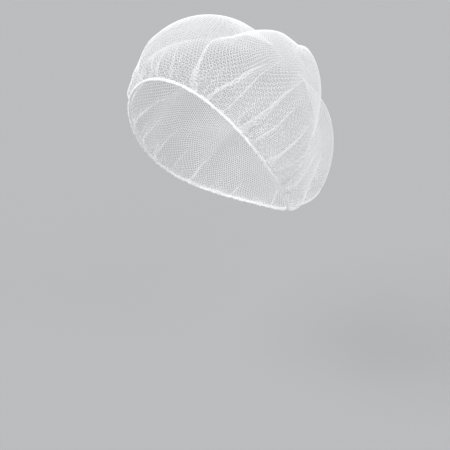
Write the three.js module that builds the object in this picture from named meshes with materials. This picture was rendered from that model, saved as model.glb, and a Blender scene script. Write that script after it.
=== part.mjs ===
// A hairnet in the shape it takes when worn: a bag of fine net drawn in at its edge by an elastic loop.
// Millimetres. +Z is up, the brow faces -Y and the wearer's left is +X.
// The origin is the middle of the elastic loop, where the head enters.
import * as THREE from 'three';

// The elastic loop, seen square on to its own plane. The brow end is tilted up.
const LOOP_HALF_BREADTH = 82;
const LOOP_HALF_LENGTH = 103;
const LOOP_TILT_DEG = 51;
const EAR_DIP = 5;
const NAPE_LIFT = 17;

// The elastic itself: a narrow strip with rounded edges, standing on edge round the head.
const ELASTIC_WIDTH = 3.2;
const ELASTIC_THICKNESS = 2.2;

// The net is a thin wall whose edge stops just short of the elastic.
const NET_THICKNESS = 1.2;
const EDGE_GAP = 0.5;

// The crown is the top of the bag, measured square off the loop's plane.
const CROWN_HEIGHT = 143;
const CROWN_SETBACK = 22;
const HOLLOW_MIDDLE_SHARE = 0.35;

// The bag swells outwards and rises to its widest line a fifth of the way up to the crown.
const WIDEST_AT = 0.2;
const STEEPNESS = 0.5;
const DOME_FULLNESS = 1.1;
const SECTIONS = {
  brow: { swell: 13.5, rise: 35 },
  ear: { swell: 13.5, rise: 45 },
  nape: { swell: 19, rise: 16.5 },
};

// Lobes and the creases between them, in order round the bag. Turn is in degrees from the brow towards
// the wearer's left, lean the degrees it swings by the crown, and stand how far the net stands out from,
// or sinks into, a plain dome. From and top are the shares of the way up where it begins and dies out.
const LOBES = [
  { kind: 'crease', turn: -42, lean: -10, stand: -3, from: 0, top: 0.7 },
  { kind: 'lobe', turn: -14, lean: 0, stand: 3.4, from: 0, top: 0.95 },
  { kind: 'crease', turn: 18, lean: 0, stand: -11.5, from: 0.18, top: 0.95 },
  { kind: 'lobe', turn: 42, lean: 0, stand: 5.2, from: 0, top: 0.95 },
  { kind: 'crease', turn: 53, lean: 2, stand: 5.5, from: 0, top: 0.95 },
  { kind: 'lobe', turn: 62, lean: 0, stand: 9.5, from: 0, top: 0.95 },
  { kind: 'crease', turn: 104, lean: 3, stand: -14.5, from: 0, top: 0.95 },
  { kind: 'lobe', turn: 126, lean: 0, stand: 4, from: 0, top: 0.9 },
  { kind: 'crease', turn: 140, lean: 6, stand: -9, from: 0, top: 0.55 },
  { kind: 'lobe', turn: 158, lean: 4, stand: -2, from: 0, top: 0.7 },
  { kind: 'crease', turn: 180, lean: -8, stand: -8, from: 0, top: 0.65 },
  { kind: 'lobe', turn: 205, lean: 0, stand: 3, from: 0, top: 0.8 },
  { kind: 'crease', turn: 232, lean: -10, stand: -9, from: 0, top: 0.85 },
  { kind: 'lobe', turn: 256, lean: -4, stand: 5, from: 0, top: 0.9 },
  { kind: 'crease', turn: 280, lean: -6, stand: -8, from: 0, top: 0.75 },
  { kind: 'lobe', turn: 298, lean: -8, stand: 3, from: 0, top: 0.9 },
];
const LOBES_RISE_OVER = 0.25;
const LOBES_FADE_OVER = 0.3;

// Gathers that run up from the elastic. Foot is the turn at the elastic, lean the degrees it would swing
// by the crown, reach the share of the way up where it dies out, and stand its height off the net.
const GATHER_HALF_WIDTH_DEG = 3.4;
const GATHERS_FULL_AT = 0.06;
const GATHERS = [
  { foot: -5, lean: 15, reach: 0.15, stand: 2.0 },
  { foot: 5, lean: 0, reach: 0.2, stand: 1.6 },
  { foot: 22, lean: -12, reach: 0.46, stand: 3.4 },
  { foot: 30, lean: 14, reach: 0.16, stand: 2.2 },
  { foot: 33, lean: 50, reach: 0.32, stand: 3.0 },
  { foot: 44, lean: 23, reach: 0.4, stand: 2.4 },
  { foot: 55.5, lean: 32, reach: 0.4, stand: 3.4 },
  { foot: 65, lean: 27, reach: 0.26, stand: 2.6 },
  { foot: 72, lean: -15, reach: 0.15, stand: 1.8 },
  { foot: 79, lean: 20, reach: 0.32, stand: 3.0 },
  { foot: 84, lean: 62, reach: 0.3, stand: 2.2 },
  { foot: 91, lean: 45, reach: 0.2, stand: 2.4 },
  { foot: 104, lean: 20, reach: 0.34, stand: 3.0 },
  { foot: 115, lean: 16, reach: 0.2, stand: 2.4 },
  { foot: 127, lean: 12, reach: 0.26, stand: 2.8 },
  { foot: 141, lean: 8, reach: 0.22, stand: 2.4 },
  { foot: 152, lean: 6, reach: 0.3, stand: 3.0 },
  { foot: 166, lean: 2, reach: 0.18, stand: 2.2 },
  { foot: 178, lean: 0, reach: 0.32, stand: 2.8 },
  { foot: 193, lean: -4, reach: 0.2, stand: 2.4 },
  { foot: 207, lean: -8, reach: 0.28, stand: 3.0 },
  { foot: 219, lean: -12, reach: 0.18, stand: 2.2 },
  { foot: 233, lean: -16, reach: 0.32, stand: 3.0 },
  { foot: 246, lean: -20, reach: 0.22, stand: 2.4 },
  { foot: 259, lean: -24, reach: 0.3, stand: 3.0 },
  { foot: 273, lean: -28, reach: 0.2, stand: 2.2 },
  { foot: 286, lean: -30, reach: 0.36, stand: 3.2 },
  { foot: 299, lean: -28, reach: 0.22, stand: 2.6 },
  { foot: 312, lean: -22, reach: 0.34, stand: 3.0 },
  { foot: 325, lean: -14, reach: 0.2, stand: 2.2 },
  { foot: 338, lean: -8, reach: 0.3, stand: 2.8 },
];

// How finely each piece is faceted. The net's rings start this share of an even step apart.
const NET_STEPS_ROUND = 160;
const NET_STEPS_UP = 14;
const FIRST_RING_SHARE = 0.75;
const ELASTIC_STEPS_ROUND = 128;
const ELASTIC_STEPS_SECTION = 8;

const TAU = Math.PI * 2;
const radians = THREE.MathUtils.degToRad;
const tilt = radians(LOOP_TILT_DEG);

// Loop axes: across the head, forwards to the brow, and off the loop's plane towards the crown.
const ACROSS = new THREE.Vector3(1, 0, 0);
const FORWARD = new THREE.Vector3(0, -Math.cos(tilt), Math.sin(tilt));
const OFF_PLANE = new THREE.Vector3(0, Math.sin(tilt), Math.cos(tilt));

function place(across, forward, off) {
  return new THREE.Vector3()
    .addScaledVector(ACROSS, across)
    .addScaledVector(FORWARD, forward)
    .addScaledVector(OFF_PLANE, off);
}

function smooth(x) {
  return THREE.MathUtils.smoothstep(x, 0, 1);
}

function degreesBetween(a, b) {
  return THREE.MathUtils.euclideanModulo(a - b + 180, 360) - 180;
}

// A size that passes through its brow, ear and nape values as the turn goes round.
function roundTheHead(turn, name) {
  const c = Math.cos(turn);
  const brow = SECTIONS.brow[name];
  const ear = SECTIONS.ear[name];
  const nape = SECTIONS.nape[name];
  return ear + ((brow - nape) / 2) * c + ((brow + nape) / 2 - ear) * c * c;
}

// The loop's own line, and the way straight out from it in its plane.
function loopLine(turn) {
  const c = Math.cos(turn);
  const nape = Math.max(0, -c);
  return {
    across: LOOP_HALF_BREADTH * Math.sin(turn),
    forward: LOOP_HALF_LENGTH * c,
    off: EAR_DIP * Math.cos(2 * turn) + NAPE_LIFT * nape * nape,
  };
}

function loopOutwards(turn) {
  const across = LOOP_HALF_LENGTH * Math.sin(turn);
  const forward = LOOP_HALF_BREADTH * Math.cos(turn);
  const length = Math.hypot(across, forward);
  return { across: across / length, forward: forward / length };
}

// The plain dome without lobes or gathers. Up runs from 0 at the elastic to 1 at the crown.
function plainDome(turn, up) {
  const edge = loopLine(turn);
  const out = loopOutwards(turn);
  const swell = roundTheHead(turn, 'swell');
  const rise = roundTheHead(turn, 'rise');
  const start = edge.off + ELASTIC_WIDTH / 2 + EDGE_GAP;
  const widest = {
    across: edge.across + out.across * swell,
    forward: edge.forward + out.forward * swell,
    off: start + rise,
  };
  if (up < WIDEST_AT) {
    const s = up / WIDEST_AT;
    const quarter = (s * Math.PI) / 2;
    const climb = STEEPNESS * s + (1 - STEEPNESS) * (1 - Math.cos(quarter));
    return place(
      edge.across + (widest.across - edge.across) * Math.sin(quarter),
      edge.forward + (widest.forward - edge.forward) * Math.sin(quarter),
      start + rise * climb,
    );
  }
  const quarter = (((up - WIDEST_AT) / (1 - WIDEST_AT)) * Math.PI) / 2;
  const spread = Math.max(0, Math.cos(quarter));
  const climb = Math.pow(Math.sin(quarter), DOME_FULLNESS);
  return place(
    widest.across * spread,
    -CROWN_SETBACK + (widest.forward + CROWN_SETBACK) * spread,
    widest.off + (CROWN_HEIGHT - widest.off) * climb,
  );
}

// Between a crease and a lobe the net leaves the crease steeply and comes level on the lobe.
function lobeStand(turnDeg, up) {
  const rows = LOBES.map((row) => ({
    kind: row.kind,
    turn: row.turn + row.lean * up,
    stand:
      row.stand *
      smooth((up - row.from) / LOBES_RISE_OVER) *
      smooth((row.top - up) / LOBES_FADE_OVER),
  }));
  for (let k = 0; k < rows.length; k += 1) {
    const here = rows[k];
    const next = rows[(k + 1) % rows.length];
    const span = THREE.MathUtils.euclideanModulo(next.turn - here.turn, 360);
    const past = THREE.MathUtils.euclideanModulo(turnDeg - here.turn, 360);
    if (past < span) {
      const quarter = ((past / span) * Math.PI) / 2;
      const share = here.kind === 'crease' ? Math.sin(quarter) : 1 - Math.cos(quarter);
      return here.stand + (next.stand - here.stand) * share;
    }
  }
  return 0;
}

function gatherStand(turnDeg, up) {
  let stand = 0;
  for (const gather of GATHERS) {
    const off = degreesBetween(turnDeg, gather.foot + gather.lean * up) / GATHER_HALF_WIDTH_DEG;
    const fade = 1 - smooth(up / gather.reach);
    stand += gather.stand * fade * Math.exp(-off * off);
  }
  return stand;
}

const HOLLOW_MIDDLE = place(0, -CROWN_SETBACK / 2, CROWN_HEIGHT * HOLLOW_MIDDLE_SHARE);

// The middle of the net's wall.
function netSurface(turn, up) {
  const point = plainDome(turn, up);
  const outwards = point.clone().sub(HOLLOW_MIDDLE).normalize();
  const turnDeg = THREE.MathUtils.radToDeg(turn);
  const lobes = lobeStand(turnDeg, up);
  const gathers = gatherStand(turnDeg, up) * smooth(up / GATHERS_FULL_AT);
  return point.addScaledVector(outwards, lobes + gathers);
}

function netNormal(turn, up) {
  const step = 0.004;
  const round = netSurface(turn + step, up).sub(netSurface(turn - step, up));
  const low = Math.max(0, up - step);
  const climb = netSurface(turn, up + step).sub(netSurface(turn, low));
  return climb.cross(round).normalize();
}

// Rings sit closer together near the elastic, where the wall bends most.
function ringHeight(ring) {
  const s = ring / NET_STEPS_UP;
  return s * (FIRST_RING_SHARE + (1 - FIRST_RING_SHARE) * s);
}

function netSkin(side) {
  const points = [];
  for (let ring = 0; ring < NET_STEPS_UP; ring += 1) {
    const up = ringHeight(ring);
    for (let k = 0; k < NET_STEPS_ROUND; k += 1) {
      const turn = (TAU * k) / NET_STEPS_ROUND;
      const offset = netNormal(turn, up).multiplyScalar((side * NET_THICKNESS) / 2);
      points.push(netSurface(turn, up).add(offset));
    }
  }
  const crown = plainDome(0, 1).addScaledVector(OFF_PLANE, (side * NET_THICKNESS) / 2);
  points.push(crown);
  return points;
}

function solid(name, points, faces, colour) {
  const geometry = new THREE.BufferGeometry();
  const flat = new Float32Array(points.length * 3);
  points.forEach((p, k) => p.toArray(flat, 3 * k));
  geometry.setAttribute('position', new THREE.BufferAttribute(flat, 3));
  geometry.setIndex(faces.flat());
  geometry.computeVertexNormals();
  const material = new THREE.MeshStandardMaterial({ color: colour, roughness: 0.8, metalness: 0 });
  const mesh = new THREE.Mesh(geometry, material);
  mesh.name = name;
  return mesh;
}

// Outer and inner skins joined round the edge that meets the elastic.
function makeNet() {
  const outer = netSkin(1);
  const inner = netSkin(-1);
  const first = outer.length;
  const crown = outer.length - 1;
  const faces = [];
  for (let k = 0; k < NET_STEPS_ROUND; k += 1) {
    const next = (k + 1) % NET_STEPS_ROUND;
    for (let ring = 0; ring < NET_STEPS_UP - 1; ring += 1) {
      const low = ring * NET_STEPS_ROUND;
      const high = low + NET_STEPS_ROUND;
      faces.push([low + k, high + k, low + next], [low + next, high + k, high + next]);
      faces.push([first + low + k, first + low + next, first + high + k]);
      faces.push([first + low + next, first + high + next, first + high + k]);
    }
    const top = (NET_STEPS_UP - 1) * NET_STEPS_ROUND;
    faces.push([top + k, crown, top + next]);
    faces.push([first + top + k, first + top + next, first + crown]);
    faces.push([k, next, first + k], [next, first + next, first + k]);
  }
  return solid('net', [...outer, ...inner], faces, 0xf2f3f4);
}

// An oval section swept round the loop, its width standing off the loop's plane.
function makeElastic() {
  const points = [];
  for (let k = 0; k < ELASTIC_STEPS_ROUND; k += 1) {
    const turn = (TAU * k) / ELASTIC_STEPS_ROUND;
    const line = loopLine(turn);
    const out = loopOutwards(turn);
    for (let j = 0; j < ELASTIC_STEPS_SECTION; j += 1) {
      const around = (TAU * (j + 0.5)) / ELASTIC_STEPS_SECTION;
      const thick = (ELASTIC_THICKNESS / 2) * Math.cos(around);
      const wide = (ELASTIC_WIDTH / 2) * Math.sin(around);
      const across = line.across + out.across * thick;
      const forward = line.forward + out.forward * thick;
      points.push(place(across, forward, line.off + wide));
    }
  }
  const faces = [];
  for (let k = 0; k < ELASTIC_STEPS_ROUND; k += 1) {
    const here = k * ELASTIC_STEPS_SECTION;
    const next = ((k + 1) % ELASTIC_STEPS_ROUND) * ELASTIC_STEPS_SECTION;
    for (let j = 0; j < ELASTIC_STEPS_SECTION; j += 1) {
      const j2 = (j + 1) % ELASTIC_STEPS_SECTION;
      faces.push([here + j, next + j, here + j2], [next + j, next + j2, here + j2]);
    }
  }
  return solid('elastic_band', points, faces, 0xf7f7f5);
}

const hairnet = new THREE.Group();
hairnet.name = 'hairnet';
hairnet.add(makeNet(), makeElastic());

export default hairnet;
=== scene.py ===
import math

import bpy
import numpy as np
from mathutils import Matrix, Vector


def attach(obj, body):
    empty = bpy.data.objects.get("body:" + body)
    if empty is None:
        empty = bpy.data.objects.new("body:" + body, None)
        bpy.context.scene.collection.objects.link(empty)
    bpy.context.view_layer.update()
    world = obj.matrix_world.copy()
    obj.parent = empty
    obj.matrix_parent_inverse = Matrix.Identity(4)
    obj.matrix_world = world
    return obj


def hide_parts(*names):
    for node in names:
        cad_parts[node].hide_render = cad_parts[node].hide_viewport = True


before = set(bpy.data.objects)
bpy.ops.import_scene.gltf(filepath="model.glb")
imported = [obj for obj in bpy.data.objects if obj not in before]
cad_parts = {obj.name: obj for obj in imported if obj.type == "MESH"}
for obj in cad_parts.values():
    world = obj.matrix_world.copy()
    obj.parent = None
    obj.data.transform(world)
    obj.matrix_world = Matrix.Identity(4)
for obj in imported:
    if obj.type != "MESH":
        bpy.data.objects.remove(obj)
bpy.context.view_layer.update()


# Elastic band
# A narrow strip of white covered elastic, closed into a loop that stands on edge along the net's rim.
# Its cover is drawn into small cross ribs where the net's edge is stitched down over it.
MM = 0.001
LOOP_HALF_BREADTH = 82 * MM
LOOP_HALF_LENGTH = 103 * MM
LOOP_TILT = math.radians(51)
EAR_DIP = 5 * MM
NAPE_LIFT = 17 * MM
ELASTIC_WIDTH = 3.2 * MM
ELASTIC_THICKNESS = 2.2 * MM
STRIP_SHARE = 0.86
ELASTIC_RIBS = 430
RIB_HEIGHT = 0.13 * MM
RIB_SLANT = 0.6
RIB_ROUNDNESS = 0.7
RIB_FULLNESS = 0.75
STEPS_PER_RIB = 6
SECTION_STEPS = 14
SECTION_SQUARENESS = 0.8
UNEVEN_WIDTH = 0.32
UNEVEN_THICKNESS = 0.2
SWAY = 0.6 * MM

ACROSS = np.array([1.0, 0.0, 0.0])
FORWARD = np.array([0.0, -math.cos(LOOP_TILT), math.sin(LOOP_TILT)])
OFF_PLANE = np.array([0.0, math.sin(LOOP_TILT), math.cos(LOOP_TILT)])


def place(across, forward, off):
    return (
        np.asarray(across)[..., None] * ACROSS
        + np.asarray(forward)[..., None] * FORWARD
        + np.asarray(off)[..., None] * OFF_PLANE
    )


def loop_line(turn):
    c = np.cos(turn)
    nape = np.maximum(0.0, -c)
    off = EAR_DIP * np.cos(2 * turn) + NAPE_LIFT * nape**2
    return LOOP_HALF_BREADTH * np.sin(turn), LOOP_HALF_LENGTH * c, off


def loop_outwards(turn):
    across = LOOP_HALF_LENGTH * np.sin(turn)
    forward = LOOP_HALF_BREADTH * np.cos(turn)
    length = np.hypot(across, forward)
    return across / length, forward / length


def ripples(turn, waves, seed):
    """A gentle uneven swing between about -1 and 1, the same on every run."""
    rng = np.random.default_rng(seed)
    total = np.zeros_like(turn)
    for n in waves:
        total += rng.uniform(0.5, 1.0) * np.sin(n * turn + rng.uniform(0, 2 * np.pi))
    return total / len(waves)


def on_elastic(turn, around, proud):
    """A point on the strip's skin: around goes round its section, proud stands it off the skin."""
    across, forward, off = loop_line(turn)
    out_across, out_forward = loop_outwards(turn)
    wide = STRIP_SHARE * ELASTIC_WIDTH / 2 * (1 + UNEVEN_WIDTH * ripples(turn, (31, 87, 141, 203), 4))
    uneven = 1 + UNEVEN_THICKNESS * ripples(turn, (24, 67, 125), 5)
    thick = STRIP_SHARE * ELASTIC_THICKNESS / 2 * uneven
    c, s = np.cos(around), np.sin(around)
    thick_way = np.sign(c) * np.abs(c) ** SECTION_SQUARENESS * thick + c * proud
    wide_way = np.sign(s) * np.abs(s) ** SECTION_SQUARENESS * wide + s * proud
    sway = SWAY * ripples(turn, (23, 41, 67, 118), 6)
    return place(
        across + out_across * thick_way,
        forward + out_forward * thick_way,
        off + wide_way + sway,
    )


def mesh_piece(name, points, faces, material):
    mesh = bpy.data.meshes.new(name)
    faces = np.asarray(faces, np.int32)
    sides = faces.shape[1]
    mesh.vertices.add(len(points))
    mesh.vertices.foreach_set("co", np.asarray(points, np.float32).ravel())
    mesh.loops.add(faces.size)
    mesh.loops.foreach_set("vertex_index", faces.ravel())
    mesh.polygons.add(len(faces))
    mesh.polygons.foreach_set("loop_start", np.arange(0, faces.size, sides, dtype=np.int32))
    mesh.polygons.foreach_set("use_smooth", np.ones(len(faces), bool))
    mesh.update(calc_edges=True)
    mesh.validate()
    mesh.materials.append(material)
    piece = bpy.data.objects.new(name, mesh)
    bpy.context.scene.collection.objects.link(piece)
    return piece


def ring_faces(steps, sides):
    k, j = np.meshgrid(np.arange(steps), np.arange(sides), indexing="ij")
    here, there = k * sides, (k + 1) % steps * sides
    j2 = (j + 1) % sides
    return np.stack([here + j, there + j, there + j2, here + j2], -1).reshape(-1, 4)


def bake_map(piece, uv_of_vertex):
    """Lays the piece out flat for its baked colours."""
    layer = piece.data.uv_layers.new(name="OFBake")
    index = np.empty(len(piece.data.loops), np.int32)
    piece.data.loops.foreach_get("vertex_index", index)
    layer.data.foreach_set("uv", np.asarray(uv_of_vertex, np.float32)[index].ravel())


ROUGHNESS_SWING = 0.1
FIBRE_RELIEF = 0.15 * MM


def white_yarn(name, colour, shade, patch_size, roughness, sheen, fibre_size, bump):
    """White textile yarn: a touch of tone from place to place, soft sheen, and fine fibres."""
    material = bpy.data.materials.new(name)
    material.use_nodes = True
    nodes, links = material.node_tree.nodes, material.node_tree.links
    shader = nodes["Principled BSDF"]
    place_in_piece = nodes.new("ShaderNodeTexCoord")
    cloudy = nodes.new("ShaderNodeTexNoise")
    cloudy.inputs["Scale"].default_value = 1.0 / patch_size
    cloudy.inputs["Detail"].default_value = 4.0
    tone = nodes.new("ShaderNodeValToRGB")
    tone.color_ramp.elements[0].position = 0.32
    tone.color_ramp.elements[0].color = (*shade, 1)
    tone.color_ramp.elements[1].position = 0.68
    tone.color_ramp.elements[1].color = (*colour, 1)
    fibres = nodes.new("ShaderNodeTexNoise")
    fibres.inputs["Scale"].default_value = 1.0 / fibre_size
    fibres.inputs["Detail"].default_value = 3.0
    gloss = nodes.new("ShaderNodeMapRange")
    gloss.inputs["To Min"].default_value = roughness - ROUGHNESS_SWING
    gloss.inputs["To Max"].default_value = roughness + ROUGHNESS_SWING
    relief = nodes.new("ShaderNodeBump")
    relief.inputs["Strength"].default_value = bump
    relief.inputs["Distance"].default_value = FIBRE_RELIEF
    for texture in (cloudy, fibres):
        links.new(place_in_piece.outputs["Object"], texture.inputs["Vector"])
    links.new(cloudy.outputs["Fac"], tone.inputs["Fac"])
    links.new(tone.outputs["Color"], shader.inputs["Base Color"])
    links.new(fibres.outputs["Fac"], gloss.inputs["Value"])
    links.new(gloss.outputs["Result"], shader.inputs["Roughness"])
    links.new(fibres.outputs["Fac"], relief.inputs["Height"])
    links.new(relief.outputs["Normal"], shader.inputs["Normal"])
    shader.inputs["Sheen Weight"].default_value = sheen
    shader.inputs["Sheen Roughness"].default_value = 0.4
    shader.inputs["Specular IOR Level"].default_value = 0.4
    return material


elastic_white = white_yarn(
    "elastic_white",
    colour=(0.84, 0.84, 0.835),
    shade=(0.62, 0.63, 0.64),
    patch_size=5 * MM,
    roughness=0.6,
    sheen=0.25,
    fibre_size=0.35 * MM,
    bump=0.35,
)
steps = ELASTIC_RIBS * STEPS_PER_RIB
turn, around = np.meshgrid(
    np.arange(steps) * 2 * np.pi / steps,
    (np.arange(SECTION_STEPS) + 0.5) * 2 * np.pi / SECTION_STEPS,
    indexing="ij",
)
rib = np.abs(np.sin(ELASTIC_RIBS / 2 * turn + RIB_SLANT * np.sin(around))) ** RIB_ROUNDNESS
fullness = RIB_FULLNESS + (1 - RIB_FULLNESS) * ripples(turn, (71, 113, 167), 7)
band_points = on_elastic(turn, around, RIB_HEIGHT * rib * fullness)
elastic_band = mesh_piece(
    "elastic_band_strip", band_points.reshape(-1, 3), ring_faces(steps, SECTION_STEPS), elastic_white
)
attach(elastic_band, "root")
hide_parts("elastic_band")


# Edge stitching
# Two white sewing threads wound over the elastic all the way round, catching the net's edge.
# They cross on the outside of the strip, as an overlocked edge does.
STITCHES = 300
STITCH_RADIUS = 0.17 * MM
STITCH_OFF_RIBS = 0.7
STITCH_WANDER = 0.004
STEPS_PER_STITCH = 12
THREAD_SIDES = 5

stitch_white = white_yarn(
    "stitch_white",
    colour=(0.9, 0.9, 0.9),
    shade=(0.82, 0.825, 0.83),
    patch_size=26 * MM,
    roughness=0.45,
    sheen=0.2,
    fibre_size=0.2 * MM,
    bump=0.25,
)
stitch_points, stitch_faces = [], []
for hand in (1, -1):
    count = STITCHES * STEPS_PER_STITCH
    step = np.arange(count)
    turn = step * 2 * np.pi / count
    turn = turn + STITCH_WANDER * ripples(turn, (43, 91, 139), 8 + hand)
    wound = hand * step * 2 * np.pi / STEPS_PER_STITCH
    line = on_elastic(turn, wound, RIB_HEIGHT + STITCH_RADIUS * STITCH_OFF_RIBS)
    along = np.roll(line, -1, 0) - np.roll(line, 1, 0)
    along /= np.linalg.norm(along, axis=1, keepdims=True)
    side = np.cross(along, OFF_PLANE)
    side /= np.linalg.norm(side, axis=1, keepdims=True)
    top = np.cross(side, along)
    angle = np.arange(THREAD_SIDES) * 2 * np.pi / THREAD_SIDES
    ring = (
        line[:, None]
        + STITCH_RADIUS * np.cos(angle)[None, :, None] * side[:, None]
        + STITCH_RADIUS * np.sin(angle)[None, :, None] * top[:, None]
    )
    stitch_faces.append(ring_faces(count, THREAD_SIDES) + sum(map(len, stitch_points)))
    stitch_points.append(ring.reshape(-1, 3))
edge_stitching = mesh_piece(
    "edge_stitching", np.concatenate(stitch_points), np.concatenate(stitch_faces), stitch_white
)
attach(edge_stitching, "root")
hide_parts("elastic_band")


# Net
# A round of fine white nylon knitted in open six-sided cells, its edge gathered onto the elastic so
# that the bag puffs out in lobes. The cells are spread over a ball, then carried onto the worn shape.
EDGE_GAP = 0.5 * MM
CROWN_HEIGHT = 143 * MM
CROWN_SETBACK = 22 * MM
HOLLOW_MIDDLE_SHARE = 0.35
WIDEST_AT = 0.2
STEEPNESS = 0.5
DOME_FULLNESS = 1.1
SECTIONS = {
    "brow": {"swell": 13.5 * MM, "rise": 35 * MM},
    "ear": {"swell": 13.5 * MM, "rise": 45 * MM},
    "nape": {"swell": 19 * MM, "rise": 16.5 * MM},
}

# Lobes and the creases between them, in order round the bag. Turn is in degrees from the brow towards
# +X, lean the degrees it swings by the crown, stand the millimetres that the net stands out from a plain
# dome, and from and top the shares of the way up where it begins and dies out.
LOBES = [
    {"kind": "crease", "turn": -42, "lean": -10, "stand": -3, "from": 0, "top": 0.7},
    {"kind": "lobe", "turn": -14, "lean": 0, "stand": 3.4, "from": 0, "top": 0.95},
    {"kind": "crease", "turn": 18, "lean": 0, "stand": -11.5, "from": 0.18, "top": 0.95},
    {"kind": "lobe", "turn": 42, "lean": 0, "stand": 5.2, "from": 0, "top": 0.95},
    {"kind": "crease", "turn": 53, "lean": 2, "stand": 5.5, "from": 0, "top": 0.95},
    {"kind": "lobe", "turn": 62, "lean": 0, "stand": 9.5, "from": 0, "top": 0.95},
    {"kind": "crease", "turn": 104, "lean": 3, "stand": -14.5, "from": 0, "top": 0.95},
    {"kind": "lobe", "turn": 126, "lean": 0, "stand": 4, "from": 0, "top": 0.9},
    {"kind": "crease", "turn": 140, "lean": 6, "stand": -9, "from": 0, "top": 0.55},
    {"kind": "lobe", "turn": 158, "lean": 4, "stand": -2, "from": 0, "top": 0.7},
    {"kind": "crease", "turn": 180, "lean": -8, "stand": -8, "from": 0, "top": 0.65},
    {"kind": "lobe", "turn": 205, "lean": 0, "stand": 3, "from": 0, "top": 0.8},
    {"kind": "crease", "turn": 232, "lean": -10, "stand": -9, "from": 0, "top": 0.85},
    {"kind": "lobe", "turn": 256, "lean": -4, "stand": 5, "from": 0, "top": 0.9},
    {"kind": "crease", "turn": 280, "lean": -6, "stand": -8, "from": 0, "top": 0.75},
    {"kind": "lobe", "turn": 298, "lean": -8, "stand": 3, "from": 0, "top": 0.9},
]
LOBES_RISE_OVER = 0.25
LOBES_FADE_OVER = 0.3

# Gathers that run up from the elastic. Foot is the turn at the elastic in degrees, lean the degrees a
# gather would swing by the crown, reach the share of the way up where it dies out, stand its height in
# millimetres, and tuck the millimetres of net that it draws in from either side. The broad ridge takes
# RIDGE_SHARE of the height, and the crest of the fold comes on top of it.
GATHER_HALF_WIDTH = math.radians(3.4)
GATHERS_FULL_AT = 0.06
RIDGE_SHARE = 0.7
GATHERS = [
    {"foot": -5, "lean": 15, "reach": 0.15, "stand": 2.0, "tuck": 8.0},
    {"foot": 5, "lean": 0, "reach": 0.2, "stand": 1.6, "tuck": 5.5},
    {"foot": 22, "lean": -12, "reach": 0.46, "stand": 3.4, "tuck": 9.0},
    {"foot": 30, "lean": 14, "reach": 0.16, "stand": 2.2, "tuck": 6.0},
    {"foot": 33, "lean": 50, "reach": 0.32, "stand": 3.0, "tuck": 9.0},
    {"foot": 44, "lean": 23, "reach": 0.4, "stand": 2.4, "tuck": 6.5},
    {"foot": 55.5, "lean": 32, "reach": 0.4, "stand": 3.4, "tuck": 10.5},
    {"foot": 65, "lean": 27, "reach": 0.26, "stand": 2.6, "tuck": 8.0},
    {"foot": 72, "lean": -15, "reach": 0.15, "stand": 1.8, "tuck": 4.0},
    {"foot": 79, "lean": 20, "reach": 0.32, "stand": 3.0, "tuck": 8.5},
    {"foot": 84, "lean": 62, "reach": 0.3, "stand": 2.2, "tuck": 7.0},
    {"foot": 91, "lean": 45, "reach": 0.2, "stand": 2.4, "tuck": 7.0},
    {"foot": 104, "lean": 20, "reach": 0.34, "stand": 3.0, "tuck": 7.0},
    {"foot": 115, "lean": 16, "reach": 0.2, "stand": 2.4, "tuck": 4.3},
    {"foot": 127, "lean": 12, "reach": 0.26, "stand": 2.8, "tuck": 6.4},
    {"foot": 141, "lean": 8, "reach": 0.22, "stand": 2.4, "tuck": 4.3},
    {"foot": 152, "lean": 6, "reach": 0.3, "stand": 3.0, "tuck": 7.2},
    {"foot": 166, "lean": 2, "reach": 0.18, "stand": 2.2, "tuck": 3.8},
    {"foot": 178, "lean": 0, "reach": 0.32, "stand": 2.8, "tuck": 7.2},
    {"foot": 193, "lean": -4, "reach": 0.2, "stand": 2.4, "tuck": 4.3},
    {"foot": 207, "lean": -8, "reach": 0.28, "stand": 3.0, "tuck": 7.0},
    {"foot": 219, "lean": -12, "reach": 0.18, "stand": 2.2, "tuck": 3.5},
    {"foot": 233, "lean": -16, "reach": 0.32, "stand": 3.0, "tuck": 7.8},
    {"foot": 246, "lean": -20, "reach": 0.22, "stand": 2.4, "tuck": 4.3},
    {"foot": 259, "lean": -24, "reach": 0.3, "stand": 3.0, "tuck": 7.2},
    {"foot": 273, "lean": -28, "reach": 0.2, "stand": 2.2, "tuck": 3.8},
    {"foot": 286, "lean": -30, "reach": 0.36, "stand": 3.2, "tuck": 8.1},
    {"foot": 299, "lean": -28, "reach": 0.22, "stand": 2.6, "tuck": 4.6},
    {"foot": 312, "lean": -22, "reach": 0.34, "stand": 3.0, "tuck": 7.2},
    {"foot": 325, "lean": -14, "reach": 0.2, "stand": 2.2, "tuck": 3.8},
    {"foot": 338, "lean": -8, "reach": 0.3, "stand": 2.8, "tuck": 5.2},
]

# Finer folds, too slight to stand off as ridges, and how many small ones lie along the elastic.
FINE_FOLDS = [
    {"foot": -12, "lean": 20, "reach": 0.12, "tuck": 4.4},
    {"foot": 12, "lean": 10, "reach": 0.12, "tuck": 3.4},
    {"foot": 18, "lean": 25, "reach": 0.1, "tuck": 3.6},
    {"foot": 37, "lean": 46, "reach": 0.26, "tuck": 2.0},
    {"foot": 51, "lean": 26, "reach": 0.24, "tuck": 1.8},
    {"foot": 60, "lean": 36, "reach": 0.34, "tuck": 2.4},
    {"foot": 69, "lean": 38, "reach": 0.3, "tuck": 2.0},
    {"foot": 75, "lean": 34, "reach": 0.28, "tuck": 2.4},
    {"foot": 87, "lean": 8, "reach": 0.24, "tuck": 3.0},
    {"foot": 96, "lean": 40, "reach": 0.28, "tuck": 3.6},
    {"foot": 99, "lean": -20, "reach": 0.22, "tuck": 2.8},
    {"foot": 109, "lean": 34, "reach": 0.3, "tuck": 3.0},
]
SMALL_GATHERS = 120

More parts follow.
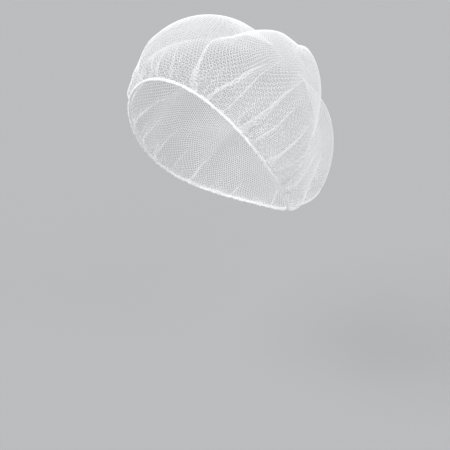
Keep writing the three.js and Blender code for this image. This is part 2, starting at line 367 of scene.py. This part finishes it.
# A fold is doubled over at its foot and only bunched at its tip, with a thin crest of net along it.
# Its bunch is given as a share of its tuck.
CRESTS_FULL_AT = 0.015
TALLEST_CREST = 1.0
CREST_PER_TUCK = 0.5
HELD_SHARE = 0.7
FOLD_SPREAD = 16 * MM
FOOT_BUNCH = 0.55
TIP_BUNCH = 0.95
LEAST_BUNCH = 0.1 * MM
LOOP_MEAN_RADIUS = 94 * MM

SPAN_TO_EDGE = math.radians(106)
CELLS_PER_SIDE = 54
TUCKED_IN = 0.016
JOIN_SCATTER = 0.0008
YARN_WIDTH = 0.33 * MM
YARN_DEPTH = 0.36 * MM
JOIN_WIDTH_SHARE = 0.66
WIDEST_IN_CELL = 0.4


def smooth(x):
    x = np.clip(x, 0.0, 1.0)
    return x * x * (3 - 2 * x)


def between(a, b):
    return (a - b + np.pi) % (2 * np.pi) - np.pi


def round_the_loop(turn, size):
    brow, ear, nape = (SECTIONS[name][size] for name in ("brow", "ear", "nape"))
    c = np.cos(turn)
    return ear + (brow - nape) / 2 * c + ((brow + nape) / 2 - ear) * c * c


def plain_dome(turn, up):
    across, forward, off = loop_line(turn)
    out_across, out_forward = loop_outwards(turn)
    swell, rise = round_the_loop(turn, "swell"), round_the_loop(turn, "rise")
    start = off + ELASTIC_WIDTH / 2 + EDGE_GAP
    wide_across, wide_forward = across + out_across * swell, forward + out_forward * swell
    s = np.clip(up / WIDEST_AT, 0, 1)
    low = place(
        across + (wide_across - across) * np.sin(s * np.pi / 2),
        forward + (wide_forward - forward) * np.sin(s * np.pi / 2),
        start + rise * (STEEPNESS * s + (1 - STEEPNESS) * (1 - np.cos(s * np.pi / 2))),
    )
    quarter = np.clip((up - WIDEST_AT) / (1 - WIDEST_AT), 0, 1) * np.pi / 2
    spread, climb = np.cos(quarter), np.sin(quarter) ** DOME_FULLNESS
    high = place(
        wide_across * spread,
        -CROWN_SETBACK + (wide_forward + CROWN_SETBACK) * spread,
        start + rise + (CROWN_HEIGHT - start - rise) * climb,
    )
    return np.where((up < WIDEST_AT)[..., None], low, high)


def lobe_stand(turn, up):
    total = np.zeros_like(turn)
    turns = [np.radians(row["turn"] + row["lean"] * up) for row in LOBES]
    stands = [
        row["stand"]
        * MM
        * smooth((up - row["from"]) / LOBES_RISE_OVER)
        * smooth((row["top"] - up) / LOBES_FADE_OVER)
        for row in LOBES
    ]
    for k, row in enumerate(LOBES):
        n = (k + 1) % len(LOBES)
        span = (turns[n] - turns[k]) % (2 * np.pi)
        past = (turn - turns[k]) % (2 * np.pi)
        quarter = past / span * np.pi / 2
        share = np.sin(quarter) if row["kind"] == "crease" else 1 - np.cos(quarter)
        total = np.where(past < span, stands[k] + (stands[n] - stands[k]) * share, total)
    return total


HOLLOW_MIDDLE = place(0.0, -CROWN_SETBACK / 2, CROWN_HEIGHT * HOLLOW_MIDDLE_SHARE)
small = np.random.default_rng(21)
small_gathers = [
    {
        "foot": 360 * (k + small.uniform(-0.45, 0.45)) / SMALL_GATHERS,
        "lean": small.uniform(-25, 25),
        "reach": small.uniform(0.05, 0.16),
        "tuck": small.uniform(1.2, 3.2),
    }
    for k in range(SMALL_GATHERS)
]
folds = sorted(GATHERS + FINE_FOLDS + small_gathers, key=lambda row: -row["tuck"])


def net_surface(turn, up):
    """Where the net lies, from the turn round the loop and the share of the way up to the crown.
    At each fold the net slips towards the fold line and bunches there. The deepest folds are laid
    first, and later ones only where the net is still free."""
    swung = turn.copy()
    stand = np.zeros_like(turn)
    free = np.ones_like(turn)
    for row in folds:
        x = LOOP_MEAN_RADIUS * between(swung, np.radians(row["foot"] + row["lean"] * up))
        fade = np.clip(1 - (up / row["reach"]) ** 2, 0, 1)
        tuck = row["tuck"] * MM * fade
        way_up = np.clip(up / row["reach"], 0, 1)
        bunch_share = FOOT_BUNCH + (TIP_BUNCH - FOOT_BUNCH) * way_up
        bunched = np.maximum(bunch_share * tuck, LEAST_BUNCH)
        slip = tuck * np.tanh(x / bunched) * np.exp(-((x / FOLD_SPREAD) ** 2))
        swung -= slip * free / LOOP_MEAN_RADIUS
        height = min(row["tuck"] * CREST_PER_TUCK, TALLEST_CREST) * MM
        crest = height * fade * np.exp(-((x / bunched) ** 2))
        stand += crest * free * smooth(up / CRESTS_FULL_AT)
        free *= 1 - np.sqrt(fade) * np.exp(-((x / (HELD_SHARE * bunched)) ** 2))
    for row in GATHERS:
        off = between(swung, np.radians(row["foot"] + row["lean"] * up)) / GATHER_HALF_WIDTH
        ridge = RIDGE_SHARE * row["stand"] * MM * (1 - smooth(up / row["reach"])) * np.exp(-(off**2))
        stand += ridge * smooth(up / GATHERS_FULL_AT)
    point = plain_dome(swung, up)
    outwards = point - HOLLOW_MIDDLE
    outwards /= np.linalg.norm(outwards, axis=-1, keepdims=True)
    stand += lobe_stand(swung, up)
    return point + outwards * stand[..., None]


# How far up each line from elastic to crown a given share of its length reaches.
TURN_STEPS = 240
UP_STEPS = 160
share_up = np.linspace(0, 1, UP_STEPS + 1)
grid_turn, grid_up = np.meshgrid(np.linspace(0, 2 * np.pi, TURN_STEPS + 1), share_up, indexing="ij")
lines = plain_dome(grid_turn, grid_up)
lengths = np.cumsum(np.linalg.norm(np.diff(lines, axis=1), axis=-1), axis=1)
lengths = np.concatenate([np.zeros((len(lengths), 1)), lengths], axis=1)
up_at_share = np.array([np.interp(share_up, row / row[-1], share_up) for row in lengths])


def worn(ball):
    """Carries points of a ball-shaped bag onto the worn shape, its outermost edge into the elastic."""
    turn = np.arctan2(ball[:, 1], ball[:, 0]) % (2 * np.pi)
    past_crown = np.arccos(np.clip(ball[:, 2], -1, 1)) / SPAN_TO_EDGE
    share = np.clip(1 - past_crown, 0, 1)
    column, row = turn / (2 * np.pi) * TURN_STEPS, share * UP_STEPS
    c0 = np.minimum(column.astype(int), TURN_STEPS - 1)
    r0 = np.minimum(row.astype(int), UP_STEPS - 1)
    fc, fr = column - c0, row - r0
    up = (
        up_at_share[c0, r0] * (1 - fc) * (1 - fr)
        + up_at_share[c0 + 1, r0] * fc * (1 - fr)
        + up_at_share[c0, r0 + 1] * (1 - fc) * fr
        + up_at_share[c0 + 1, r0 + 1] * fc * fr
    )
    point = net_surface(turn, up)
    tucked = np.clip((past_crown - 1) / TUCKED_IN, 0, 1)[:, None]
    return point + (place(*loop_line(turn)) - point) * tucked


# The knitted bag before it is drawn in: six-sided cells spread evenly over a ball, which takes the
# twenty sides of an icosahedron, each cut into small triangles with a cell round every corner.
golden = (1 + math.sqrt(5)) / 2
corners = np.array([(0, y, z * golden) for y in (-1, 1) for z in (-1, 1)], float)
corners = np.concatenate([np.roll(corners, k, 1) for k in range(3)]) / math.hypot(1, golden)
apart = np.linalg.norm(corners[:, None] - corners[None], axis=-1)
NEIGHBOURS_WITHIN = 1.1
touching = (apart > 0) & (apart < NEIGHBOURS_WITHIN)
sides = [
    (a, b, c)
    for a in range(len(corners))
    for b in range(a + 1, len(corners))
    for c in range(b + 1, len(corners))
    if touching[a, b] and touching[b, c] and touching[a, c]
]
points, triangles = [], []
n = CELLS_PER_SIDE
for a, b, c in sides:
    if np.dot(np.cross(corners[b] - corners[a], corners[c] - corners[a]), corners[a]) < 0:
        b, c = c, b
    first = sum(map(len, points))
    number = {}
    side_points = []
    for p in range(n + 1):
        for q in range(n + 1 - p):
            number[p, q] = first + len(side_points)
            side_points.append(((n - p - q) * corners[a] + p * corners[b] + q * corners[c]) / n)
    points.append(side_points)
    for p in range(n):
        for q in range(n - p):
            triangles.append((number[p, q], number[p + 1, q], number[p, q + 1]))
            if p + q < n - 1:
                triangles.append((number[p + 1, q], number[p + 1, q + 1], number[p, q + 1]))
cells = np.concatenate(points)
cells /= np.linalg.norm(cells, axis=1, keepdims=True)
_, kept, merged = np.unique(np.round(cells, 6), axis=0, return_index=True, return_inverse=True)
cells, triangles = cells[kept], merged.reshape(-1)[np.array(triangles)]

# A turn of the ball, which has a five-sided cell at each of its twelve corners.
BALL_TIP, BALL_SPIN = math.radians(23), math.radians(41)
c, s = math.cos(BALL_TIP), math.sin(BALL_TIP)
roll_x = np.array([[1, 0, 0], [0, c, -s], [0, s, c]])
c, s = math.cos(BALL_SPIN), math.sin(BALL_SPIN)
roll_z = np.array([[c, -s, 0], [s, c, 0], [0, 0, 1]])
cells = cells @ (roll_z @ roll_x).T

# Three yarns meet at each join, in the middle of a triangle of cells; each join is a little out of true.
ball_joins = cells[triangles].mean(1)
ball_joins += np.random.default_rng(33).normal(0, JOIN_SCATTER, ball_joins.shape)
ball_joins /= np.linalg.norm(ball_joins, axis=1, keepdims=True)
inside = np.arccos(np.clip(ball_joins[:, 2], -1, 1)) < SPAN_TO_EDGE * (1 + TUCKED_IN)
triangles, ball_joins = triangles[inside], ball_joins[inside]
at_join, at_cell = worn(ball_joins), worn(cells)

# Yarn skin at every join: a point towards each of its three cells, one above and one below.
to_cells = [at_cell[triangles[:, k]] - at_join for k in range(3)]
facing = np.cross(to_cells[1] - to_cells[0], to_cells[2] - to_cells[0])
facing /= np.maximum(np.linalg.norm(facing, axis=1, keepdims=True), 1e-12)
ABOVE, BELOW, SKIN_POINTS = 3, 4, 5
skin = np.empty((len(at_join), SKIN_POINTS, 3))
for k, to_cell in enumerate(to_cells):
    far = np.maximum(np.linalg.norm(to_cell, axis=1, keepdims=True), 1e-9)
    half_width = np.minimum(YARN_WIDTH * JOIN_WIDTH_SHARE, far * WIDEST_IN_CELL)
    skin[:, k] = at_join + to_cell / far * half_width
skin[:, ABOVE] = at_join + facing * YARN_DEPTH / 2
skin[:, BELOW] = at_join - facing * YARN_DEPTH / 2

# A yarn crosses each side that two triangles share, from the join on its left to the one on its right.
join = np.repeat(np.arange(len(triangles)), 3)
start, end = triangles.ravel(), np.roll(triangles, -1, 1).ravel()
start_slot = np.tile([0, 1, 2], len(triangles))
end_slot = np.tile([1, 2, 0], len(triangles))
shared = np.minimum(start, end).astype(np.int64) * len(cells) + np.maximum(start, end)
order = np.argsort(shared, kind="stable")
pair = np.flatnonzero(shared[order][1:] == shared[order][:-1])
one, two = order[pair], order[pair + 1]
a, b = join[one] * SKIN_POINTS, join[two] * SKIN_POINTS
left_a, right_a = a + end_slot[one], a + start_slot[one]
left_b, right_b = b + start_slot[two], b + end_slot[two]
yarn_faces = np.stack(
    [
        np.stack([a + ABOVE, b + ABOVE, left_b, left_a], -1),
        np.stack([a + ABOVE, right_a, right_b, b + ABOVE], -1),
        np.stack([a + BELOW, left_a, left_b, b + BELOW], -1),
        np.stack([a + BELOW, b + BELOW, right_b, right_a], -1),
    ],
    1,
)
yarn_middle = ball_joins[join[one]] + ball_joins[join[two]]
yarn_turn = np.arctan2(yarn_middle[:, 1], yarn_middle[:, 0])

net_white = white_yarn(
    "net_white",
    colour=(0.92, 0.925, 0.93),
    shade=(0.84, 0.85, 0.86),
    patch_size=26 * MM,
    roughness=0.5,
    sheen=0.3,
    fibre_size=0.12 * MM,
    bump=0.2,
)
past_crown = np.arccos(np.clip(ball_joins[:, 2], -1, 1)) / SPAN_TO_EDGE
join_turn = np.arctan2(ball_joins[:, 1], ball_joins[:, 0])
flat_joins = past_crown[:, None] * np.stack([np.cos(join_turn), np.sin(join_turn)], -1)
flat_of_skin = np.repeat(flat_joins, SKIN_POINTS, 0)
skin_points = skin.reshape(-1, 3)

# Each join stands for the net between the middles of its three cells.
FLAT_SCALE = 0.48
for name, middle in (("brow", 0), ("left", 90), ("nape", 180), ("right", 270)):
    own = np.abs(between(yarn_turn, math.radians(middle))) <= math.pi / 4
    kept, faces = np.unique(yarn_faces[own].reshape(-1, 4), return_inverse=True)
    quarter = mesh_piece(f"net_{name}", skin_points[kept], faces.reshape(-1, 4), net_white)
    bake_map(quarter, flat_of_skin[kept] * FLAT_SCALE + 0.5)
    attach(quarter, "root")
    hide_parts("net")


# Floor, light and camera
# A plain pale studio floor under broad, soft, distant light: a key from the front, a weaker fill from
# one side and one from behind. The sky has the floor's tone, so that no line shows where they meet.
FLOOR_DROP = 330 * MM
FLOOR_RADIUS = 40.0
FLOOR_GREY = (0.33, 0.335, 0.34)
FLOOR_SIDES = 96
SKY_TONE = (0.93, 0.945, 0.96)
SKY_STRENGTH = 0.535

floor_paper = bpy.data.materials.new("floor_paper")
floor_paper.use_nodes = True
paper = floor_paper.node_tree.nodes["Principled BSDF"]
paper.inputs["Base Color"].default_value = (*FLOOR_GREY, 1)
paper.inputs["Roughness"].default_value = 1.0
paper.inputs["Specular IOR Level"].default_value = 0.0
rim = np.arange(FLOOR_SIDES) * 2 * np.pi / FLOOR_SIDES
floor_points = FLOOR_RADIUS * np.stack([np.cos(rim), np.sin(rim), np.zeros(FLOOR_SIDES)], -1)
floor_points[:, 2] = -FLOOR_DROP
floor = mesh_piece("studio_floor", floor_points, np.arange(FLOOR_SIDES)[None, :], floor_paper)

world = bpy.data.worlds.new("studio")
bpy.context.scene.world = world
world.use_nodes = True
sky = world.node_tree.nodes["Background"]
sky.inputs["Color"].default_value = (*SKY_TONE, 1)
sky.inputs["Strength"].default_value = SKY_STRENGTH


def soft_light(name, comes_from, spread, power):
    light = bpy.data.lights.new(name, "SUN")
    light.angle = math.radians(spread)
    light.energy = power
    lamp = bpy.data.objects.new(name, light)
    lamp.location = comes_from
    lamp.rotation_euler = Vector(comes_from).to_track_quat("Z", "Y").to_euler()
    bpy.context.scene.collection.objects.link(lamp)


soft_light("key_light", comes_from=(-0.1, -1.0, 1.0), spread=35, power=2.6)
soft_light("fill_light", comes_from=(1.4, -0.6, 0.6), spread=50, power=1.5)
soft_light("back_light", comes_from=(-0.5, 1.0, 1.1), spread=40, power=1.1)

VIEW_TURN, VIEW_LIFT = math.radians(40), math.radians(19)
VIEW_DISTANCE = 776.7 * MM
AIM_RIGHT, AIM_DOWN = 16.5 * MM, 64.5 * MM
right = Vector((math.cos(VIEW_TURN), math.sin(VIEW_TURN), 0))
level = math.cos(VIEW_LIFT)
back = Vector((math.sin(VIEW_TURN) * level, -math.cos(VIEW_TURN) * level, math.sin(VIEW_LIFT)))
upward = back.cross(right)
aim = right * AIM_RIGHT - upward * AIM_DOWN
lens = bpy.data.cameras.new("view")
lens.lens = 64
lens.sensor_width = 36
camera = bpy.data.objects.new("view", lens)
camera.location = aim + back * VIEW_DISTANCE
camera.rotation_euler = back.to_track_quat("Z", "Y").to_euler()
bpy.context.scene.collection.objects.link(camera)
bpy.context.scene.camera = camera
bpy.context.scene.view_settings.view_transform = "Standard"
